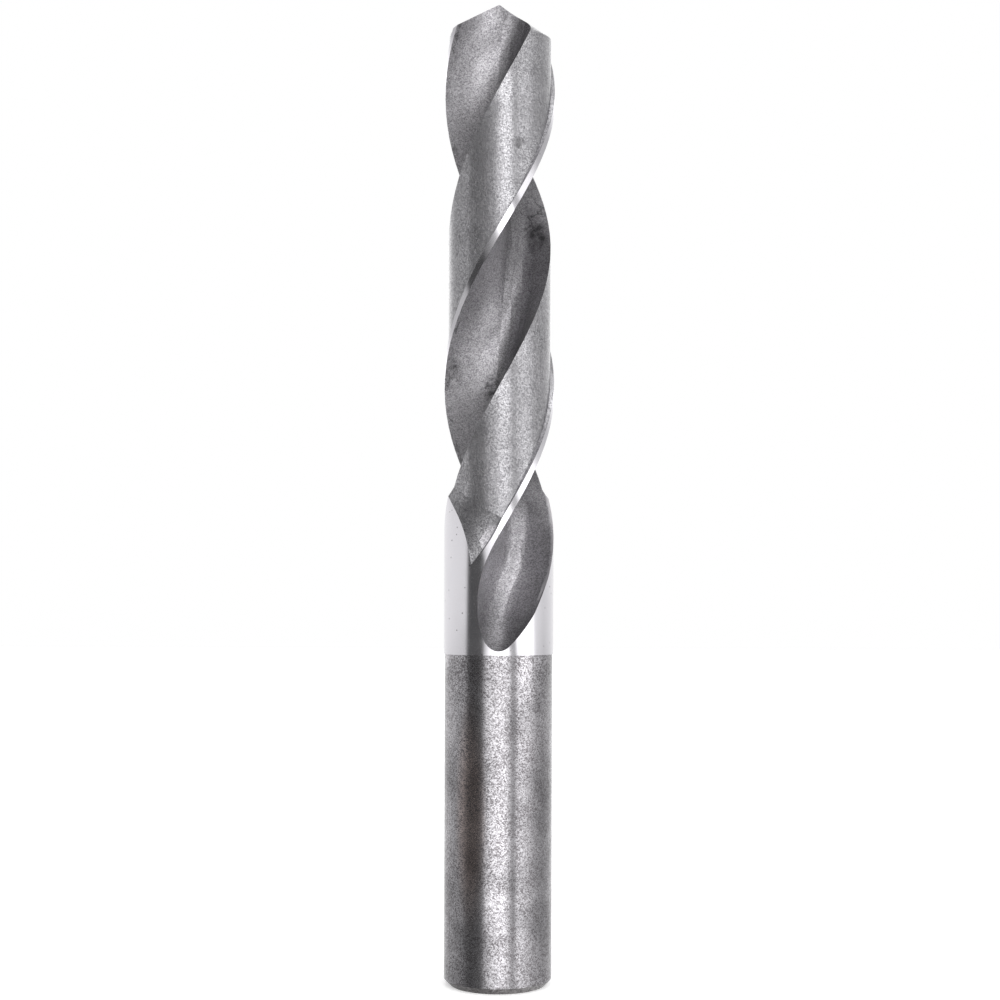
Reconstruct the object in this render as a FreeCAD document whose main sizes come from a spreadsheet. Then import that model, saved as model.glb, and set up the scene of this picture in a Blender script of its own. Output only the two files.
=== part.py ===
import FreeCAD, Part
import math
import os

import Sketcher

# A straight-shank twist drill, 20 mm, ground from one bar of high speed steel.
# It stands on the flat end of its shank, point up. The origin is the centre of that
# end face and +Z runs up the axis. -Y is the side that faces the viewer.
# It cuts right-handed: its near side moves towards +X, and its flutes climb that way.

doc = FreeCAD.newDocument("twist_drill")


# Driving sizes, in mm and degrees.
sheet = doc.addObject("Spreadsheet::Sheet", "Sizes")
SIZES = {
    # the bar: the cutting diameter, the slightly smaller shank and their lengths
    "cutting_diameter": 20.0,
    "overall_length": 178.6,
    "shank_diameter": 19.65,
    "shank_length": 60.3,
    "end_chamfer": 1.15,
    # the two flutes: one turn in helix_pitch, and the section across the flute
    "helix_pitch": 106.5,
    "web_thickness": 3.0,
    "flute_opening": 12.8,
    "rake_arc_radius": 11.0,
    "root_arc_radius": 3.4,
    "floor_arc_radius": 3.7,
    "corner_arc_radius": 4.0,
    "arc_turn": 31.0,
    # where the flute wheel stops, measured down from the tip, and where it stands round the bar
    "flute_stop": 100.35,
    "flute_stop_angle": 32.9,
    "flute_wheel_radius": 29.0,
    # the lands are ground back behind a narrow margin
    "margin_width": 1.35,
    "clearance_diameter": 18.6,
    "clearance_stop": 90.7,
    "clearance_wheel_radius": 21.0,
    # the point: two flanks, each a piece of a cone that is tilted and set over
    "point_angle": 118.0,
    "flank_cone_angle": 90.0,
    "flank_apex_distance": 10.0,
    "flank_skew": 2.0,
}
for row, (alias, value) in enumerate(SIZES.items(), start=1):
    sheet.set(f"A{row}", str(value))
    sheet.setAlias(f"A{row}", alias)
doc.recompute()


# Sizes that follow from the driving ones.
layout = doc.addObject("App::VarSet", "Layout")


def derive(kind, name, formula):
    """Add a size that the sheet's sizes work out."""
    layout.addProperty(f"App::Property{kind}", name, "Layout")
    layout.setExpression(name, formula)
    doc.recompute()


derive("Float", "radius", "Sizes.cutting_diameter / 2")
derive("Float", "half_web", "Sizes.web_thickness / 2")
derive("Float", "half_opening", "Sizes.flute_opening / 2")
derive("Float", "clear_radius", "Sizes.clearance_diameter / 2")
derive("Float", "outside", "1.25 * radius")
derive("Float", "stock_top", "Sizes.overall_length + 0.1 * radius")
derive("Angle", "helix_angle", "atan(pi * Sizes.cutting_diameter / Sizes.helix_pitch)")

# The flute's edges lie on the bar, this deep below the view along the flute's own section.
derive("Float", "edge_depth", "sqrt(radius ^ 2 - (half_opening * cos(helix_angle)) ^ 2)")
# Half of the angle that a flute takes out of the bar in a square cross-section.
derive(
    "Angle",
    "half_flute_angle",
    "asin(half_opening * cos(helix_angle) / radius)"
    " + half_opening * sin(helix_angle) * 360 deg / Sizes.helix_pitch",
)
derive("Float", "flute_level", "Sizes.overall_length - Sizes.flute_stop")
derive("Float", "flute_travel", "stock_top - flute_level + radius")

# The relief wheel is about as wide as a land, and its edge leaves the margin standing.
derive("Float", "clear_level", "Sizes.overall_length - Sizes.clearance_stop")
derive("Float", "clear_travel", "stock_top - clear_level + radius")
derive("Float", "clear_section_radius", "clear_radius / cos(helix_angle) ^ 2")
derive(
    "Float",
    "clear_half_width",
    "clear_radius * sin((90 deg - half_flute_angle) * cos(helix_angle) ^ 2) / cos(helix_angle)",
)
derive(
    "Angle",
    "clear_half_angle",
    "asin(clear_half_width * cos(helix_angle) / clear_radius)"
    " + clear_half_width * sin(helix_angle) * 360 deg / Sizes.helix_pitch",
)
derive(
    "Angle",
    "clear_angle",
    "Sizes.flute_stop_angle * 1 deg - half_flute_angle"
    " + (clear_level - flute_level) * 360 deg / Sizes.helix_pitch"
    " - Sizes.margin_width / radius * 1 rad - clear_half_angle",
)

# The flank cone: how far its apex is behind the axis, ahead of the lip and above the tip.
derive("Angle", "half_point", "Sizes.point_angle * 0.5 deg")
derive("Angle", "half_cone", "Sizes.flank_cone_angle * 0.5 deg")
derive("Angle", "cone_tilt", "half_point - half_cone")
derive("Float", "apex_back", "Sizes.flank_apex_distance * sin(half_point)")
derive("Float", "apex_ahead", "half_web + Sizes.flank_skew")
derive("Float", "rise_square", "cos(cone_tilt) ^ 2 - cos(half_cone) ^ 2")
derive("Float", "rise_linear", "apex_back * sin(2 * cone_tilt)")
derive(
    "Float",
    "rise_rest",
    "(apex_back * sin(cone_tilt)) ^ 2 - cos(half_cone) ^ 2 * (apex_back ^ 2 + apex_ahead ^ 2)",
)
derive(
    "Float",
    "apex_rise",
    "(sqrt(rise_linear ^ 2 - 4 * rise_square * rise_rest) - rise_linear) / (2 * rise_square)",
)
derive("Float", "apex_level", "Sizes.overall_length + apex_rise")
derive(
    "Float",
    "lip_corner_level",
    "apex_level - (apex_back + radius) / tan(half_point)",
)
derive(
    "Angle",
    "lip_angle",
    "Sizes.flute_stop_angle * 1 deg - half_flute_angle"
    " + (lip_corner_level - flute_level) * 360 deg / Sizes.helix_pitch"
    " - asin(half_web / radius)",
)


body = doc.addObject("PartDesign::Body", "DrillBit")
body.Label = "drill_bit"
body.Placement = FreeCAD.Placement()


def origin(role):
    """One of the body's own origin planes or axes."""
    return next(item for item in body.Origin.OriginFeatures if item.Role == role)


def point(x, y):
    return FreeCAD.Vector(x, y, 0)


def new_sketch(name, role, offset=None):
    """A sketch on an origin plane, moved and turned by a formula."""
    sketch = body.newObject("Sketcher::SketchObject", name)
    sketch.AttachmentSupport = (origin(role), [""])
    sketch.MapMode = "FlatFace"
    if offset:
        sketch.setExpression("AttachmentOffset", offset)
    return sketch


def measure(sketch, name, formula, *constraint):
    """Add a named dimension and bind it to the sizes."""
    index = sketch.addConstraint(Sketcher.Constraint(*constraint))
    sketch.renameConstraint(index, name)
    sketch.setExpression(f"Constraints.{name}", formula)


def outline(sketch, corners):
    """Draw a closed outline of straight lines and join their ends."""
    count = len(corners)
    lines = []
    for index, corner in enumerate(corners):
        after = corners[(index + 1) % count]
        lines.append(sketch.addGeometry(Part.LineSegment(point(*corner), point(*after)), False))
    for index, line in enumerate(lines):
        after = lines[(index + 1) % count]
        sketch.addConstraint(Sketcher.Constraint("Coincident", line, 2, after, 1))
    return lines


ORIGIN = (-1, 1)
START = 1
END = 2
CENTRE = 3


# The bar: a turned blank with a chamfered end, a shank and the slightly larger body.
def draw_blank():
    sketch = new_sketch("blank_section", "XZ_Plane")
    shank_radius = sheet.shank_diameter / 2
    face_radius = shank_radius - sheet.end_chamfer
    corners = [
        (0, 0),
        (face_radius, 0),
        (shank_radius, sheet.end_chamfer),
        (shank_radius, sheet.shank_length),
        (layout.radius, sheet.shank_length),
        (layout.radius, layout.stock_top),
        (0, layout.stock_top),
    ]
    face, chamfer, shank, step, side, top, axis = outline(sketch, corners)
    sketch.addConstraint(Sketcher.Constraint("Coincident", face, START, *ORIGIN))
    for line in (face, step, top):
        sketch.addConstraint(Sketcher.Constraint("Horizontal", line))
    for line in (shank, side, axis):
        sketch.addConstraint(Sketcher.Constraint("Vertical", line))
    chamfer_size = ("DistanceX", chamfer, START, chamfer, END, sheet.end_chamfer)
    chamfer_rise = ("DistanceY", chamfer, START, chamfer, END, sheet.end_chamfer)
    measure(sketch, "chamfer_size", "Sizes.end_chamfer", *chamfer_size)
    measure(sketch, "chamfer_rise", "Sizes.end_chamfer", *chamfer_rise)
    shank_size = ("DistanceX", *ORIGIN, shank, START, shank_radius)
    measure(sketch, "shank_radius", "Sizes.shank_diameter / 2", *shank_size)
    shank_top = ("DistanceY", *ORIGIN, shank, END, sheet.shank_length)
    measure(sketch, "shank_length", "Sizes.shank_length", *shank_top)
    body_size = ("DistanceX", *ORIGIN, side, START, layout.radius)
    measure(sketch, "body_radius", "Layout.radius", *body_size)
    body_top = ("DistanceY", *ORIGIN, side, END, layout.stock_top)
    measure(sketch, "stock_top", "Layout.stock_top", *body_top)
    return sketch


blank = body.newObject("PartDesign::Revolution", "blank")
blank.Profile = draw_blank()
blank.ReferenceAxis = (origin("Z_Axis"), [""])
blank.Angle = 360
doc.recompute()


def add_wheel_axis(sketch, formula, distance):
    """The axle of the wheel that leaves this section, as the sketch's construction line."""
    reach = layout.radius
    ends = (point(-reach, -distance), point(reach, -distance))
    axle = sketch.addGeometry(Part.LineSegment(*ends), True)
    sketch.addConstraint(Sketcher.Constraint("Symmetric", axle, START, axle, END, -2))
    measure(sketch, "axle_reach", "Layout.radius", "DistanceX", *ORIGIN, axle, END, reach)
    measure(sketch, "axle_distance", formula, "DistanceY", axle, END, *ORIGIN, distance)


# A flute's section square to its own run: the hollow rake face, the root that leaves the
# web standing, a floor and a corner that widen step by step, and the straight heel wall.
def draw_flute():
    place = "placement(vector(0; 0; Layout.flute_level);"
    turn = " rotation(Sizes.flute_stop_angle; Layout.helix_angle; 0))"
    sketch = new_sketch("flute_section", "XY_Plane", place + turn)

    half, depth, web = layout.half_opening, layout.edge_depth, layout.half_web
    distance = web + sheet.flute_wheel_radius
    add_wheel_axis(sketch, "Layout.half_web + Sizes.flute_wheel_radius", distance)
    rake_radius = sheet.rake_arc_radius

    # The rake arc touches the web circle and ends on the cutting edge.
    edge = math.hypot(half, depth)
    reach = web + rake_radius
    lean = math.acos((reach**2 + edge**2 - rake_radius**2) / (2 * reach * edge))
    lean -= math.atan2(half, depth)
    along = point(math.sin(lean), -math.cos(lean))
    nearest = along * web

    # From there the root and the floor turn by one angle each, and the corner by the rest.
    # Each arc starts where the last one ended and leans the same way there.
    angle = math.atan2(-along.y, -along.x)
    end = nearest
    curves = [(along * reach, rake_radius, point(-half, -depth), nearest)]
    for radius in (sheet.root_arc_radius, sheet.floor_arc_radius):
        centre = end - point(math.cos(angle), math.sin(angle)) * radius
        angle -= math.radians(sheet.arc_turn)
        start = centre + point(math.cos(angle), math.sin(angle)) * radius
        curves.append((centre, radius, end, start))
        end = start
    radius = sheet.corner_arc_radius
    centre = end - point(math.cos(angle), math.sin(angle)) * radius
    heel_edge = point(half, -depth)
    to_heel = heel_edge - centre
    angle = math.atan2(to_heel.y, to_heel.x) + math.acos(radius / to_heel.Length)
    bend = centre + point(math.cos(angle), math.sin(angle)) * radius
    curves.append((centre, radius, end, bend))

    arcs = []
    for centre, radius, first, last in curves:
        ends = [math.atan2(tip.y - centre.y, tip.x - centre.x) for tip in (last, first)]
        circle = Part.Circle(centre, FreeCAD.Vector(0, 0, 1), radius)
        arcs.append(sketch.addGeometry(Part.ArcOfCircle(circle, *ends), False))
    rake, root, floor, corner = arcs
    heel = sketch.addGeometry(Part.LineSegment(heel_edge, bend), False)
    for name, arc in zip(("rake", "root", "floor", "corner"), arcs):
        size = ("Radius", arc, sheet.get(f"{name}_arc_radius"))
        measure(sketch, f"{name}_radius", f"Sizes.{name}_arc_radius", *size)
    for name, arc in (("root", root), ("floor", floor)):
        turn = ("Angle", arc, math.radians(sheet.arc_turn))
        measure(sketch, f"{name}_turn", "Sizes.arc_turn * 1 deg", *turn)
    sketch.addConstraint(Sketcher.Constraint("Tangent", rake, START, root, END))
    sketch.addConstraint(Sketcher.Constraint("Tangent", root, START, floor, END))
    sketch.addConstraint(Sketcher.Constraint("Tangent", floor, START, corner, END))
    sketch.addConstraint(Sketcher.Constraint("Tangent", corner, START, heel, END))

    web_line = sketch.addGeometry(Part.LineSegment(point(0, 0), nearest), True)
    sketch.addConstraint(Sketcher.Constraint("Coincident", web_line, START, *ORIGIN))
    sketch.addConstraint(Sketcher.Constraint("Coincident", web_line, END, rake, START))
    sketch.addConstraint(Sketcher.Constraint("PointOnObject", rake, CENTRE, web_line))
    web_size = ("Distance", web_line, START, web_line, END, web)
    measure(sketch, "half_web", "Layout.half_web", *web_size)

    outside = layout.outside
    corners = [(half, -depth), (half, -outside), (-half, -outside), (-half, -depth)]
    closing = []
    for first, last in zip(corners, corners[1:]):
        closing.append(sketch.addGeometry(Part.LineSegment(point(*first), point(*last)), False))
    right, top, left = closing
    joints = [(heel, START, right, START), (right, END, top, START)]
    joints += [(top, END, left, START), (left, END, rake, END)]
    for joint in joints:
        sketch.addConstraint(Sketcher.Constraint("Coincident", *joint))
    sketch.addConstraint(Sketcher.Constraint("Vertical", right))
    sketch.addConstraint(Sketcher.Constraint("Vertical", left))
    sketch.addConstraint(Sketcher.Constraint("Horizontal", top))
    sides = [
        ("rake_side", "Layout.half_opening", "DistanceX", left, END, *ORIGIN, half),
        ("heel_side", "Layout.half_opening", "DistanceX", *ORIGIN, right, START, half),
        ("rake_edge", "Layout.edge_depth", "DistanceY", left, END, *ORIGIN, depth),
        ("heel_edge", "Layout.edge_depth", "DistanceY", right, START, *ORIGIN, depth),
        ("outside", "Layout.outside", "DistanceY", right, END, *ORIGIN, outside),
    ]
    for side in sides:
        measure(sketch, *side)
    return sketch


# The relief's section: a hollow that runs concentric with the bar, with radial sides.
def draw_relief():
    place = "placement(vector(0; 0; Layout.clear_level);"
    turn = " rotation(Layout.clear_angle; Layout.helix_angle; 0))"
    sketch = new_sketch("relief_section", "XY_Plane", place + turn)
    half, radius = layout.clear_half_width, layout.clear_section_radius
    rise = radius - layout.clear_radius
    spread = math.asin(half / radius)
    depth = radius * math.cos(spread) - rise
    wide = half * layout.outside / depth
    outside = layout.outside

    distance = layout.clear_radius + sheet.clearance_wheel_radius
    add_wheel_axis(sketch, "Layout.clear_radius + Sizes.clearance_wheel_radius", distance)

    circle = Part.Circle(point(0, rise), FreeCAD.Vector(0, 0, 1), radius)
    down = -math.pi / 2
    land = sketch.addGeometry(Part.ArcOfCircle(circle, down - spread, down + spread), False)
    corners = [(half, -depth), (wide, -outside), (-wide, -outside), (-half, -depth)]
    closing = []
    for first, last in zip(corners, corners[1:]):
        closing.append(sketch.addGeometry(Part.LineSegment(point(*first), point(*last)), False))
    right, top, left = closing
    joints = [(land, END, right, START), (right, END, top, START)]
    joints += [(top, END, left, START), (left, END, land, START)]
    for joint in joints:
        sketch.addConstraint(Sketcher.Constraint("Coincident", *joint))
    sketch.addConstraint(Sketcher.Constraint("Horizontal", top))
    sketch.addConstraint(Sketcher.Constraint("PointOnObject", land, CENTRE, -2))
    sketch.addConstraint(Sketcher.Constraint("PointOnObject", *ORIGIN, right))
    sketch.addConstraint(Sketcher.Constraint("PointOnObject", *ORIGIN, left))
    rise_formula = "Layout.clear_section_radius - Layout.clear_radius"
    sizes = [
        ("section_radius", "Layout.clear_section_radius", "Radius", land, radius),
        ("section_rise", rise_formula, "DistanceY", *ORIGIN, land, CENTRE, rise),
        ("margin_side", "Layout.clear_half_width", "DistanceX", *ORIGIN, land, END, half),
        ("heel_side", "Layout.clear_half_width", "DistanceX", land, START, *ORIGIN, half),
        ("outside", "Layout.outside", "DistanceY", right, END, *ORIGIN, outside),
    ]
    for size in sizes:
        measure(sketch, *size)
    return sketch


def grind(name, sketch, travel):
    """Grind a section up the helix, let the wheel lift out below, and repeat it opposite."""
    run = body.newObject("PartDesign::SubtractiveHelix", f"{name}_run")
    run.Profile = sketch
    run.ReferenceAxis = (origin("Z_Axis"), [""])
    run.Mode = "pitch-height-angle"
    run.setExpression("Pitch", "Sizes.helix_pitch")
    run.setExpression("Height", travel)
    run.LeftHanded = False
    run.Reversed = False
    doc.recompute()
    run_out = body.newObject("PartDesign::Groove", f"{name}_run_out")
    run_out.Profile = sketch
    run_out.ReferenceAxis = (sketch, ["Axis0"])
    run_out.Angle = 90
    run_out.Reversed = True
    doc.recompute()
    repeat_opposite(f"{name}_pair", [run, run_out])


def repeat_opposite(name, features):
    """Repeat features on the other side of the axis."""
    pair = body.newObject("PartDesign::PolarPattern", name)
    pair.Originals = features
    pair.Axis = (origin("Z_Axis"), [""])
    pair.Angle = 360
    pair.Occurrences = 2
    body.Tip = pair
    doc.recompute()


# The lands are relieved first, which leaves a margin along each cutting edge.
grind("relief", draw_relief(), "Layout.clear_travel")

# The flutes come next, and run out where their wheel lifts from the bar.
grind("flute", draw_flute(), "Layout.flute_travel")


# The point: everything outside a tilted cone is ground away behind each lip. The two
# cones cross in the chisel edge.
def draw_flank():
    turn = "placement(vector(0; 0; 0); rotation(0; Layout.lip_angle - 90 deg; 0))"
    shift = "placement(vector(0; 0; -Layout.apex_ahead); rotation(0; 0; 0))"
    sketch = new_sketch("flank_section", "XZ_Plane", f"{turn} * {shift}")
    back, level = layout.apex_back, layout.apex_level
    tilt = math.radians(layout.cone_tilt.Value)
    slope = math.radians(layout.half_point.Value)
    reach = 2 * layout.radius
    apex = (-back, level)
    low = (reach, level - (back + reach) / math.tan(slope))
    high = (reach, level + reach)
    over = (-back - reach * math.tan(tilt), level + reach)
    flank, right, top, axle = outline(sketch, [apex, low, high, over])
    sketch.addConstraint(Sketcher.Constraint("Vertical", right))
    sketch.addConstraint(Sketcher.Constraint("Horizontal", top))
    lean = "2 * Layout.radius * tan(Layout.cone_tilt)"
    sizes = [
        ("apex_back", "Layout.apex_back", "DistanceX", flank, START, *ORIGIN, back),
        ("apex_level", "Layout.apex_level", "DistanceY", *ORIGIN, flank, START, level),
        ("reach", "2 * Layout.radius", "DistanceX", *ORIGIN, right, START, reach),
        ("above", "2 * Layout.radius", "DistanceY", flank, START, right, END, reach),
        ("slope", "Layout.half_point", "Angle", right, START, flank, END, slope),
        ("lean", lean, "DistanceX", axle, START, axle, END, reach * math.tan(tilt)),
    ]
    for size in sizes:
        measure(sketch, *size)
    return sketch


flank_sketch = draw_flank()
flank = body.newObject("PartDesign::Groove", "flank")
flank.Profile = flank_sketch
flank.ReferenceAxis = (flank_sketch, ["Edge4"])
flank.Angle = 180
flank.Midplane = True
doc.recompute()
repeat_opposite("flank_pair", [flank])


for item in doc.Objects:
    if "Invalid" in item.State or "Error" in item.State:
        raise RuntimeError(f"{item.Name}: {item.getStatusString()}")
shape = body.Shape
if shape.isNull() or not shape.isValid() or len(shape.Solids) != 1:
    raise RuntimeError("the drill is not one valid solid")

os.makedirs("parts", exist_ok=True)
shape.exportStep(f"parts/{body.Label}.step")
print(body.Label, "volume", round(shape.Volume, 1), "faces", len(shape.Faces))
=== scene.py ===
import math

import bpy
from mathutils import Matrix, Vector

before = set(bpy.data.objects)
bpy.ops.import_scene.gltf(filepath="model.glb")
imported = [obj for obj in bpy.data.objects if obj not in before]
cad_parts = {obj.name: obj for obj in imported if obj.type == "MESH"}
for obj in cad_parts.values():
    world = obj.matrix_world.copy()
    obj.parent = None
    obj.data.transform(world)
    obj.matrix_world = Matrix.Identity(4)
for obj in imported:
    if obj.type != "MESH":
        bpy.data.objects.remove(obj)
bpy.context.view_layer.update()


# The drill: one bar of hardened high speed steel, turned, milled and ground. Its finishes
# follow from how each surface was made: bright where the grinding wheel passed last, dull
# grey in the flutes and on the relieved lands, stained and oxide-mottled on the shank.
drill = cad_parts["drill_bit"]


# Cylindrically ground steel: the margins and the plain band above the shank. A fine wheel
# left it close to a mirror, with hair-fine rings round the bar and a few dark pits.
MM = 0.001

# Pattern sizes in mm. The real rings are finer, and are drawn as coarse as they need to show.
RING_WIDTH = 0.12
RING_LENGTH = 20 / 3
FILM_PATCH = 4.0
PIT_SPACING = 1.2

# A pit is dark as far out as PIT_CORE and gone at PIT_RIM, in shares of the spacing, and
# this share of the places has no pit.
PIT_CORE = 0.08
PIT_RIM = 0.16
PITLESS_SHARE = 0.55


def colour(hex_code):
    """Linear RGBA of an sRGB hex colour."""
    channels = [int(hex_code[start:start + 2], 16) / 255 for start in (1, 3, 5)]
    linear = [c / 12.92 if c <= 0.04045 else ((c + 0.055) / 1.055) ** 2.4 for c in channels]
    return (*linear, 1.0)


def per_size(size_mm):
    """The texture scale, on coordinates in metres, of a pattern whose grain has this size."""
    return 1000 / size_mm


def add(tree, kind, inputs=None, **settings):
    """Add a shader node, set its own settings, and give each input a value or a link."""
    made = tree.nodes.new("ShaderNode" + kind)
    for name, value in settings.items():
        setattr(made, name, value)
    for name, value in (inputs or {}).items():
        if isinstance(value, bpy.types.NodeSocket):
            tree.links.new(value, made.inputs[name])
        else:
            made.inputs[name].default_value = value
    return made


def steel(name):
    """A new metal: its node tree, its surface shader and the piece's own coordinates."""
    material = bpy.data.materials.new(name)
    material.use_nodes = True
    tree = material.node_tree
    surface = tree.nodes["Principled BSDF"]
    surface.inputs["Metallic"].default_value = 1.0
    place = add(tree, "TexCoord").outputs["Object"]
    return material, tree, surface, place


ground_steel, tree, surface, place = steel("cylindrically_ground_steel")
rings_at = add(tree, "Mapping", {
    "Vector": place, "Scale": [per_size(size) for size in (RING_LENGTH, RING_LENGTH, RING_WIDTH)],
})
rings = add(tree, "TexNoise", {"Vector": rings_at.outputs[0], "Scale": 1.0, "Detail": 2.0})
film = add(tree, "TexNoise", {"Vector": place, "Scale": per_size(FILM_PATCH), "Detail": 3.0})
pits = add(tree, "TexVoronoi", {"Vector": place, "Scale": per_size(PIT_SPACING)})
pit = add(tree, "MapRange", {
    "Value": pits.outputs["Distance"], "From Min": PIT_CORE, "From Max": PIT_RIM,
    "To Min": 0.8, "To Max": 0.0,
})
chance = add(tree, "SeparateColor", {0: pits.outputs["Color"]})
some = add(tree, "Math", {0: chance.outputs[0], 1: PITLESS_SHARE}, operation="GREATER_THAN")
pit_mask = add(tree, "Math", {0: pit.outputs[0], 1: some.outputs[0]}, operation="MULTIPLY")
sheen = add(tree, "Mix", {
    "Factor": film.outputs["Fac"], "A": colour("#d2d0d5"), "B": colour("#dddbdf"),
}, data_type="RGBA")
finish = add(tree, "Mix", {
    "Factor": pit_mask.outputs[0], "A": sheen.outputs["Result"], "B": colour("#5a5556"),
}, data_type="RGBA")
tree.links.new(finish.outputs["Result"], surface.inputs["Base Color"])
gloss = add(tree, "MapRange", {"Value": film.outputs["Fac"], "To Min": 0.10, "To Max": 0.22})
tree.links.new(gloss.outputs[0], surface.inputs["Roughness"])
relief = add(tree, "Bump", {
    "Height": rings.outputs["Fac"], "Strength": 0.12, "Distance": 0.01 * MM,
})
tree.links.new(relief.outputs[0], surface.inputs["Normal"])


# Dull steel of the flutes and lands: milled, then hardened, so a fine-grained grey skin
# stayed that scatters light. Its colour holds painted shade: darker on the heel side of each
# flute, and at the foot of each flute and land.
LAND_RADIUS = 9.3 * MM

# A flute's middle line climbs one turn in LEAD, and stands FLUTE_ANGLE to the right of the
# viewer's side at FLUTE_LEVEL. The edge of the flute's heel is HEEL_EDGE further round.
LEAD = 106.5 * MM
FLUTE_LEVEL = 78.25 * MM
FLUTE_ANGLE = math.radians(32.9)
HEEL_EDGE = math.radians(44.4)

# The heel side's painted shade comes in between these distances from the middle line. From
# RUN_OUT_TOP down, where the flute runs out into the round bar, it draws back to the heel.
# The painted shade at the foot of a flute or land comes in over FOOT_BLEND.
SHADE_START = -3.4 * MM
SHADE_FULL = 3.6 * MM
RUN_OUT_TOP = 91.0 * MM
RUN_OUT_BLEND = 6 * MM
RUN_OUT_SHIFT = 4.4 * MM
FOOT_BLEND = 8 * MM

# Stains in the flutes and on the lands: where each one is, and how far it reaches, in mm.
# One in the upper flute, high on the heel side, has branched along scratches.
BRANCHED = ((6.1, 3.0, 140.5), (4, 5, 8))
STAINS = [
    ((7.0, 1.5, 137.0), (2.5, 3, 5)), ((-9.0, -1.4, 111.0), (3, 3, 5)),
    ((-1.5, -1.0, 108.8), (2.5, 2.5, 3)), ((3.7, -8.5, 151.5), (1.5, 2, 1.5)),
    ((0.5, 7.5, 128.0), (4, 4, 6)), ((-6.0, 6.5, 92.0), (4, 4, 4)),
]

# Pattern sizes in mm. The grain is drawn at 0.16 mm, about the finest that the picture can
# show.
SMUDGE_SIZE = 1.6
BRANCH_SPACING = 3.4
CLOUD_SIZE = 6.0
FLUTE_GRAIN = 0.16

# How far the branches are pulled off a straight course, their half width as a share of
# their spacing, and the share of its lightness that fully stained steel keeps.
BRANCH_PULL = 0.0026
BRANCH_WIDTH = 0.055
STAINED_SHADE = 0.2

# The heel's edge is worn and has a painted highlight: WORN_HIGHLIGHT_SHARE of it, fading
# between these angles from it, and no deeper than WORN_HIGHLIGHT_DEPTH under the land.
WORN_HIGHLIGHT_SHARE = 0.6
WORN_HIGHLIGHT_CORE = math.radians(0.4)
WORN_HIGHLIGHT_REACH = math.radians(1.2)
WORN_HIGHLIGHT_DEPTH = 0.25 * MM


def turn_in_flute(tree, place):
    """The angle round the bar from the middle of the nearer flute, positive to its heel."""
    at = add(tree, "SeparateXYZ", {0: place})
    front = add(tree, "Math", {0: at.outputs["Y"], 1: -1.0}, operation="MULTIPLY")
    turned = add(tree, "Math", {0: at.outputs["X"], 1: front.outputs[0]}, operation="ARCTAN2")
    climb = add(tree, "Math", {
        0: at.outputs["Z"], 1: -2 * math.pi / LEAD, 2: FLUTE_LEVEL * 2 * math.pi / LEAD - FLUTE_ANGLE,
    }, operation="MULTIPLY_ADD")
    total = add(tree, "Math", {0: turned.outputs[0], 1: climb.outputs[0]})
    wrapped = add(tree, "Math", {
        0: total.outputs[0], 1: math.pi / 2, 2: -math.pi / 2,
    }, operation="WRAP")
    return wrapped.outputs[0]


def within(tree, place, centre, reach):
    """One inside a soft-edged egg round a place, and nothing outside; all sizes in mm."""
    offset = add(tree, "VectorMath", {
        0: place, 1: [value * MM for value in centre],
    }, operation="SUBTRACT")
    scaled = add(tree, "VectorMath", {
        0: offset.outputs[0], 1: [value * MM for value in reach],
    }, operation="DIVIDE")
    away = add(tree, "VectorMath", {0: scaled.outputs[0]}, operation="LENGTH")
    return add(tree, "MapRange", {
        "Value": away.outputs["Value"], "From Min": 0.35, "From Max": 1.0, "To Min": 1.0, "To Max": 0.0,
    }, interpolation_type="SMOOTHSTEP").outputs[0]


def stained(tree, place):
    """How much stain a place has: smudges round each stain's middle, and one branching mark."""
    wobble = add(tree, "TexNoise", {
        "Vector": place, "Scale": per_size(SMUDGE_SIZE), "Detail": 6.0, "Roughness": 0.7,
    })
    moved = add(tree, "Mix", {
        "Factor": BRANCH_PULL, "A": place, "B": wobble.outputs["Color"],
    }, data_type="RGBA")
    veins = add(tree, "TexVoronoi", {
        "Vector": moved.outputs["Result"], "Scale": per_size(BRANCH_SPACING),
    }, feature="DISTANCE_TO_EDGE")
    vein = add(tree, "MapRange", {
        "Value": veins.outputs["Distance"], "From Max": BRANCH_WIDTH, "To Min": 0.9, "To Max": 0.0,
    })
    smudge = add(tree, "MapRange", {
        "Value": wobble.outputs["Fac"], "From Min": 0.38, "From Max": 0.62, "To Max": 1.0,
    })
    total = 0.0
    for centre, reach in STAINS:
        near = within(tree, place, centre, reach)
        total = add(tree, "Math", {0: total, 1: near}, operation="MAXIMUM").outputs[0]
    smudged = add(tree, "Math", {0: total, 1: smudge.outputs[0]}, operation="MULTIPLY")
    branched = add(tree, "Math", {
        0: within(tree, place, *BRANCHED), 1: vein.outputs[0],
    }, operation="MULTIPLY")
    return add(tree, "Math", {
        0: smudged.outputs[0], 1: branched.outputs[0],
    }, operation="MAXIMUM").outputs[0]


def grit(tree, place, size_mm):
    """Grains of this size, each of its own grey, in clumps a few grains across."""
    grains = add(tree, "TexVoronoi", {"Vector": place, "Scale": per_size(size_mm)})
    grey = add(tree, "SeparateColor", {0: grains.outputs["Color"]})
    clumps = add(tree, "TexNoise", {
        "Vector": place, "Scale": per_size(4 * size_mm), "Detail": 4.0, "Roughness": 0.8,
    })
    return add(tree, "Mix", {
        "Factor": 0.35, "A": grey.outputs[0], "B": clumps.outputs["Fac"],
    }).outputs[0]


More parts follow.
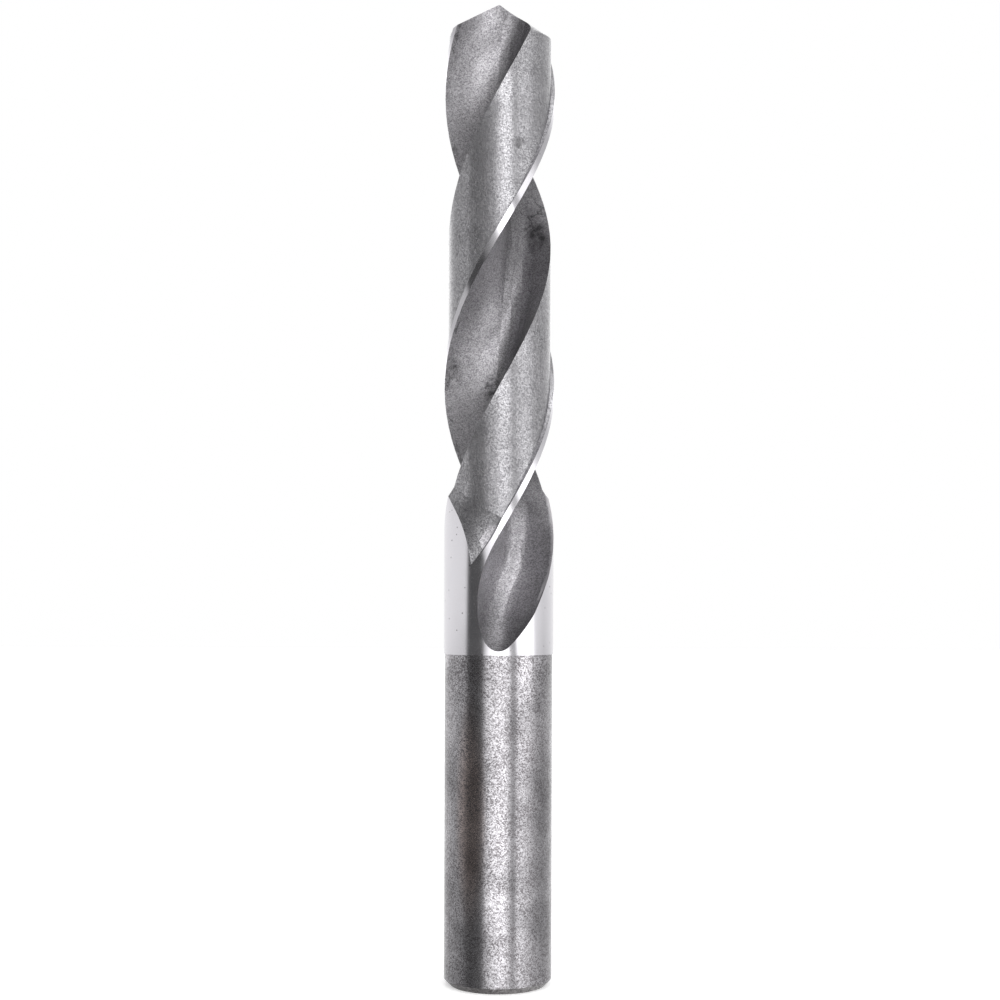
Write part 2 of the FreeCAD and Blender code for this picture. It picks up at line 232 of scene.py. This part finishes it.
def heel_shaded(tree, aside, height, heel_shade):
    """The lightness a place keeps under the painted shade: all before it starts, heel_shade where it is
    full.
    """
    spared = add(tree, "MapRange", {
        "Value": height, "From Min": RUN_OUT_TOP - RUN_OUT_BLEND, "From Max": RUN_OUT_TOP,
        "To Min": RUN_OUT_SHIFT, "To Max": 0.0,
    })
    across = add(tree, "Math", {0: aside, 1: spared.outputs[0]}, operation="SUBTRACT")
    return add(tree, "MapRange", {
        "Value": across.outputs[0], "From Min": SHADE_START, "From Max": SHADE_FULL,
        "To Min": 1.0, "To Max": heel_shade,
    }, interpolation_type="SMOOTHSTEP").outputs[0]


def worn_and_highlit_at_heel(tree, turn, from_axis):
    """How much wear and painted highlight a place has: only along the edge where a flute's heel meets
    the land.
    """
    from_edge = add(tree, "Math", {0: turn, 1: HEEL_EDGE}, operation="SUBTRACT")
    beside = add(tree, "Math", {0: from_edge.outputs[0]}, operation="ABSOLUTE")
    rubbed_and_highlit = add(tree, "MapRange", {
        "Value": beside.outputs[0], "From Min": WORN_HIGHLIGHT_CORE, "From Max": WORN_HIGHLIGHT_REACH,
        "To Min": WORN_HIGHLIGHT_SHARE, "To Max": 0.0,
    })
    outside = add(tree, "Math", {
        0: from_axis, 1: LAND_RADIUS - WORN_HIGHLIGHT_DEPTH,
    }, operation="GREATER_THAN")
    return add(tree, "Math", {
        0: rubbed_and_highlit.outputs[0], 1: outside.outputs[0],
    }, operation="MULTIPLY").outputs[0]


def dull_steel(
        name, light, dark, grain_size, roughness,
        metallic=0.68, heel_shade=1.0, foot_shade=1.0, foot_top=0.0):
    """A dull steel: two-toned grain, clouds, painted shade, stains and a worn edge at the heel with a
    painted highlight.

    Its default is less metallic than bare steel, because the hardened skin is partly oxide.
    """
    material, tree, surface, place = steel(name)
    surface.inputs["Metallic"].default_value = metallic
    height = add(tree, "SeparateXYZ", {0: place}).outputs["Z"]
    flat = add(tree, "VectorMath", {0: place, 1: (1, 1, 0)}, operation="MULTIPLY")
    from_axis = add(tree, "VectorMath", {0: flat.outputs[0]}, operation="LENGTH").outputs["Value"]
    turn = turn_in_flute(tree, place)
    sine = add(tree, "Math", {0: turn}, operation="SINE")
    aside = add(tree, "Math", {0: sine.outputs[0], 1: from_axis}, operation="MULTIPLY")

    grain = grit(tree, place, grain_size)
    speck = add(tree, "MapRange", {"Value": grain, "From Min": 0.2, "From Max": 0.8})
    skin = add(tree, "Mix", {
        "Factor": speck.outputs[0], "A": colour(dark), "B": colour(light),
    }, data_type="RGBA")
    cloud = add(tree, "TexNoise", {"Vector": place, "Scale": per_size(CLOUD_SIZE), "Detail": 5.0})
    clouded = add(tree, "MapRange", {
        "Value": cloud.outputs["Fac"], "From Min": 0.3, "From Max": 0.7, "To Min": 0.78, "To Max": 1.0,
    })
    # Random clouds, times the painted shade of the heel side.
    darker = add(tree, "Math", {
        0: clouded.outputs[0], 1: heel_shaded(tree, aside.outputs[0], height, heel_shade),
    }, operation="MULTIPLY")
    # Painted shade at the foot of a flute or land: foot_shade below foot_top less FOOT_BLEND.
    foot = add(tree, "MapRange", {
        "Value": height, "From Min": foot_top - FOOT_BLEND, "From Max": foot_top,
        "To Min": foot_shade, "To Max": 1.0,
    })
    # Stains, laid over the painted shade at the foot.
    stain_and_foot_shade = add(tree, "MapRange", {
        "Value": stained(tree, place), "To Min": foot.outputs[0], "To Max": STAINED_SHADE,
    })
    # Clouds and stains, with the painted shade of the heel side and the foot.
    stains_and_painted_shade = add(tree, "Math", {0: darker.outputs[0], 1: stain_and_foot_shade.outputs[0]}, operation="MULTIPLY")
    toned = add(tree, "VectorMath", {
        0: skin.outputs["Result"], "Scale": stains_and_painted_shade.outputs[0],
    }, operation="SCALE")
    # A light line along the heel's edge: wear, with a painted highlight.
    finish = add(tree, "Mix", {
        "Factor": worn_and_highlit_at_heel(tree, turn, from_axis), "A": toned.outputs[0], "B": colour("#c4c2c5"),
    }, data_type="RGBA")
    tree.links.new(finish.outputs["Result"], surface.inputs["Base Color"])

    gloss = add(tree, "MapRange", {
        "Value": grain, "To Min": roughness + 0.08, "To Max": roughness - 0.08,
    })
    tree.links.new(gloss.outputs[0], surface.inputs["Roughness"])
    relief = add(tree, "Bump", {"Height": grain, "Strength": 0.14, "Distance": 0.02 * MM})
    tree.links.new(relief.outputs[0], surface.inputs["Normal"])
    return material


# The flutes have painted shade on the heel side and at the foot, the lands at the foot.
flute_steel = dull_steel(
    "milled_and_hardened_flute_steel", "#d9d7db", "#8f8c91", FLUTE_GRAIN, 0.35,
    heel_shade=0.36, foot_shade=0.55, foot_top=74 * MM)
land_steel = dull_steel(
    "relieved_land_steel", "#c6c5c8", "#747276", FLUTE_GRAIN, 0.28,
    foot_shade=0.60, foot_top=89 * MM)


# The shank: turned steel that was never polished again. Oxide and handling left dark specks
# of about 0.2 mm, denser in some patches than in others, and a brown film down the front.
SPECK_SIZE = 0.19
PATCH_SIZE = 6.0
FILM_SIZE = 8.0
BROWN_FILM = ((-5.0, -8.4, 32.0), (3.4, 5.0, 24.0))

shank_steel, tree, surface, place = steel("oxide_mottled_shank_steel")
specks = grit(tree, place, SPECK_SIZE)
patches = add(tree, "TexNoise", {"Vector": place, "Scale": per_size(PATCH_SIZE), "Detail": 4.0})
level = add(tree, "MapRange", {
    "Value": patches.outputs["Fac"], "From Min": 0.3, "From Max": 0.7, "To Min": 0.60, "To Max": 0.40,
})
above = add(tree, "Math", {0: specks, 1: level.outputs[0]}, operation="SUBTRACT")
oxide = add(tree, "MapRange", {"Value": above.outputs[0], "From Min": -0.29, "From Max": 0.29})
clean = add(tree, "Mix", {
    "Factor": within(tree, place, *BROWN_FILM), "A": colour("#d1cfd3"), "B": colour("#dfceca"),
}, data_type="RGBA")
mottled = add(tree, "Mix", {
    "Factor": oxide.outputs[0], "A": clean.outputs["Result"], "B": colour("#7a7679"),
}, data_type="RGBA")
clouds = add(tree, "TexNoise", {"Vector": place, "Scale": per_size(FILM_SIZE), "Detail": 3.0})
film = add(tree, "MapRange", {
    "Value": clouds.outputs["Fac"], "From Min": 0.32, "From Max": 0.62, "To Min": 0.66, "To Max": 1.05,
})
finish = add(tree, "VectorMath", {
    0: mottled.outputs["Result"], "Scale": film.outputs[0],
}, operation="SCALE")
tree.links.new(finish.outputs[0], surface.inputs["Base Color"])
gloss = add(tree, "MapRange", {"Value": oxide.outputs[0], "To Min": 0.18, "To Max": 0.30})
tree.links.new(gloss.outputs[0], surface.inputs["Roughness"])
relief = add(tree, "Bump", {
    "Height": oxide.outputs[0], "Strength": 0.12, "Distance": 0.01 * MM,
}, invert=True)
tree.links.new(relief.outputs[0], surface.inputs["Normal"])


# The end face and its chamfer: turned on a lathe, then darkened by oxide. The tool left it
# coarser than the milled flutes, so its grain is larger.
END_GRAIN = 0.40
end_steel = dull_steel("turned_end_steel", "#9c999a", "#636061", END_GRAIN, 0.34)


# The two flanks of the point: ground last, when the drill was sharpened, so they are bare
# bright steel with the wheel's grain on it.
FLANK_GRAIN = 0.25
flank_steel = dull_steel(
    "ground_flank_steel", "#cdccd0", "#98979a", FLANK_GRAIN, 0.26, metallic=1.0)


# Where each finish goes: every face takes the finish of the work that made it last, which
# shows in where the face lies and how it faces.
FINISHES = [ground_steel, flute_steel, land_steel, shank_steel, end_steel, flank_steel]
GROUND, FLUTE, LAND, SHANK, END, FLANK = range(len(FINISHES))

SHANK_TOP = 60.3 * MM
CHAMFER_TOP = 1.15 * MM
BODY_RADIUS = 10.0 * MM
POINT_START = 172.0 * MM

# What a flat face may be out by: in level, in radius on the bar, on the land and on the
# land's run-out, and in angle at the heel.
LEVEL_SLACK = 0.01 * MM
BODY_SLACK = 0.02 * MM
LAND_SLACK = 0.06 * MM
RUN_OUT_SLACK = 0.5 * MM
HEEL_SLACK = math.radians(0.6)

# Cosines to straight outwards, for a face of the bar and of a land, and to straight up, for
# a flank.
FACES_AS_BODY = 0.995
FACES_AS_LAND = 0.94
FACES_AS_FLANK = 0.3


def finish_of(face, mesh):
    """Which finish a face of the drill has, from where it lies and how it faces."""
    corners = [mesh.vertices[index].co for index in face.vertices]
    nearest = min(math.hypot(corner.x, corner.y) for corner in corners)
    lowest = min(corner.z for corner in corners)
    highest = max(corner.z for corner in corners)
    middle = face.center
    facing_out = face.normal.dot(Vector((middle.x, middle.y, 0)).normalized())
    climbed = 2 * math.pi * (middle.z - FLUTE_LEVEL) / LEAD
    turned = math.atan2(middle.x, -middle.y) - FLUTE_ANGLE - climbed
    turned = (turned + math.pi / 2) % math.pi - math.pi / 2
    if highest <= CHAMFER_TOP + LEVEL_SLACK:
        return END
    if highest <= SHANK_TOP + LEVEL_SLACK:
        return SHANK
    if nearest > BODY_RADIUS - BODY_SLACK and facing_out > FACES_AS_BODY:
        return GROUND
    if lowest > POINT_START and face.normal.z > FACES_AS_FLANK:
        return FLANK
    if abs(turned) > HEEL_EDGE + HEEL_SLACK and nearest > LAND_RADIUS - RUN_OUT_SLACK:
        return LAND
    if facing_out > FACES_AS_LAND and nearest > LAND_RADIUS - LAND_SLACK:
        return LAND
    return FLUTE


drill.data.materials.clear()
for material in FINISHES:
    drill.data.materials.append(material)
for face in drill.data.polygons:
    face.material_index = finish_of(face, drill.data)


# The studio: a floor of white paper and plain white surroundings. The paper glows a little
# for the camera alone, and the steel doesn't mirror it.
FLOOR_WIDTH = 4.0
FLOOR_LEVEL = -0.05 * MM
PAPER_GLOW = 0.45

bpy.ops.object.select_all(action="DESELECT")
bpy.ops.mesh.primitive_plane_add(size=FLOOR_WIDTH, location=(0, 0, FLOOR_LEVEL))
floor = bpy.context.object
floor.name = "studio_floor"
floor.visible_glossy = False
paper = bpy.data.materials.new("white_paper")
paper.use_nodes = True
tree = paper.node_tree
surface = tree.nodes["Principled BSDF"]
surface.inputs["Base Color"].default_value = colour("#f2f2f2")
surface.inputs["Roughness"].default_value = 0.9
path = add(tree, "LightPath")
glow = add(tree, "Emission", {
    "Color": (PAPER_GLOW, PAPER_GLOW, PAPER_GLOW, 1), "Strength": path.outputs["Is Camera Ray"],
})
both = add(tree, "AddShader", {0: surface.outputs[0], 1: glow.outputs[0]})
tree.links.new(both.outputs[0], tree.nodes["Material Output"].inputs["Surface"])
floor.data.materials.append(paper)

world = bpy.data.worlds.new("white_surroundings")
bpy.context.scene.world = world
world.use_nodes = True
world.node_tree.nodes["Background"].inputs["Color"].default_value = (1, 1, 1, 1)
world.node_tree.nodes["Background"].inputs["Strength"].default_value = 1.0


# The room that the steel mirrors: a glowing shell, so far off that every part of the drill
# sees it the same way, and which the camera looks through. It is pale, with a dark doorway
# on the left, a grey gap on the right and a dark table edge below.
ROOM_RADIUS = 40.0
BRIGHTEST = 3.2

# Rings of the room from below to overhead. Each pair is a compass angle from the viewer's
# side, in degrees and positive to the right, and the brightness there.
FLOOR_SIDE = [
    (-180, 0.60), (-120, 0.30), (-60, 0.15), (-20, 0.40), (20, 0.90), (60, 1.10),
    (120, 1.00), (180, 0.60),
]
TABLE = [
    (-180, 1.10), (-150, 0.85), (-110, 0.55), (-84, 0.34), (-70, 0.12), (-35, 0.12),
    (-24, 1.30), (-10, 2.10), (12, 2.30), (24, 1.20), (28, 0.35), (37, 0.35), (41, 1.55),
    (60, 1.10), (80, 0.55), (110, 0.38), (135, 0.62), (160, 1.05), (180, 1.10),
]
WALLS = [
    (-180, 1.05), (-150, 1.05), (-74, 1.05), (-67, 0.10), (-34, 0.10), (-24, 1.40),
    (0, 2.20), (20, 2.20), (28, 0.50), (37, 0.50), (41, 1.80), (56, 3.00), (72, 2.80),
    (86, 1.15), (110, 0.90), (150, 1.00), (180, 1.05),
]
HIGH_WALLS = [
    (-180, 1.90), (-155, 1.70), (-120, 0.65), (-74, 0.60), (-67, 0.08), (-34, 0.08),
    (-22, 0.25), (-8, 0.50), (5, 3.00), (24, 3.20), (29, 0.60), (38, 0.60), (42, 1.55),
    (66, 1.35), (84, 0.65), (120, 0.60), (150, 1.20), (180, 1.90),
]
OVERHEAD = [
    (-180, 0.60), (-130, 0.20), (-66, 0.20), (-54, 0.50), (-42, 1.60), (-20, 2.20),
    (0, 1.80), (28, 0.90), (60, 0.60), (100, 0.80), (140, 0.80), (180, 0.60),
]

# Each higher ring takes over from the one below between two heights, as sines of elevation.
TAKING_OVER = [
    (-0.35, -0.18, TABLE), (-0.055, -0.035, WALLS), (0.05, 0.12, HIGH_WALLS), (0.4, 0.62, OVERHEAD),
]

bpy.ops.mesh.primitive_uv_sphere_add(segments=32, ring_count=16, radius=ROOM_RADIUS)
room = bpy.context.object
room.name = "studio_room"
room.visible_camera = False
walls = bpy.data.materials.new("glowing_room_walls")
walls.use_nodes = True
walls.cycles.emission_sampling = "NONE"
tree = walls.node_tree
direction = add(tree, "VectorMath", {
    0: add(tree, "TexCoord").outputs["Object"],
}, operation="NORMALIZE")
towards = add(tree, "SeparateXYZ", {0: direction.outputs[0]})
behind = add(tree, "Math", {0: towards.outputs["Y"], 1: -1.0}, operation="MULTIPLY")
turn = add(tree, "Math", {0: towards.outputs["X"], 1: behind.outputs[0]}, operation="ARCTAN2")
around = add(tree, "MapRange", {"Value": turn.outputs[0], "From Min": -math.pi, "From Max": math.pi})


def panorama(ring):
    """A ramp all the way round the room, from angles and brightnesses."""
    made = add(tree, "ValToRGB", {"Fac": around.outputs[0]})
    stops = made.color_ramp.elements
    stops.remove(stops[-1])
    for index, (angle, level) in enumerate(ring):
        position = (angle + 180) / 360
        stop = stops[0] if index == 0 else stops.new(position)
        stop.position = position
        stop.color = (*[level / BRIGHTEST] * 3, 1)
    return made.outputs["Color"]


seen = panorama(FLOOR_SIDE)
for lower, upper, ring in TAKING_OVER:
    above = add(tree, "MapRange", {
        "Value": towards.outputs["Z"], "From Min": lower, "From Max": upper,
    })
    seen = add(tree, "Mix", {
        "Factor": above.outputs[0], "A": seen, "B": panorama(ring),
    }, data_type="RGBA").outputs["Result"]
wall_glow = add(tree, "Emission", {"Color": seen, "Strength": BRIGHTEST})
tree.nodes.remove(tree.nodes["Principled BSDF"])
tree.links.new(wall_glow.outputs[0], tree.nodes["Material Output"].inputs["Surface"])
room.data.materials.append(walls)


# The lamp: one large soft box overhead, in front of the drill and a little to the right. It
# is turned to the drill's foot, and the camera doesn't see it.
LAMP_PLACE = Vector((0.2, -0.5, 1.1))
LAMP_WIDTH = 0.8
LAMP_WATTS = 1.5

lamp = bpy.data.objects.new("overhead_softbox", bpy.data.lights.new("overhead_softbox", "AREA"))
lamp.data.size = LAMP_WIDTH
lamp.data.energy = LAMP_WATTS
lamp.location = LAMP_PLACE
lamp.rotation_euler = LAMP_PLACE.to_track_quat("Z", "Y").to_euler()
lamp.visible_camera = False
bpy.context.scene.collection.objects.link(lamp)


# The camera: in front of the drill and level with its ground band, 0.31 m from its axis. It
# looks level, and its shift sets the horizon's row in the picture.
CAMERA_DISTANCE = 313.1 * MM
CAMERA_HEIGHT = 70.7 * MM
CAMERA_ASIDE = 0.24 * MM
CAMERA_ROLL = math.radians(-0.17)
PICTURE_WIDTH = 1000
FOCAL_PIXELS = 1711
HORIZON_ROW = 597

view = bpy.data.cameras.new("camera")
view.lens = view.sensor_width * FOCAL_PIXELS / PICTURE_WIDTH
view.shift_y = (HORIZON_ROW - PICTURE_WIDTH / 2) / PICTURE_WIDTH
view.clip_start = 0.01
camera = bpy.data.objects.new("camera", view)
camera.location = (CAMERA_ASIDE, -CAMERA_DISTANCE, CAMERA_HEIGHT)
camera.rotation_euler = (math.radians(90), CAMERA_ROLL, 0)
bpy.context.scene.collection.objects.link(camera)
bpy.context.scene.camera = camera
bpy.context.scene.view_settings.view_transform = "Standard"
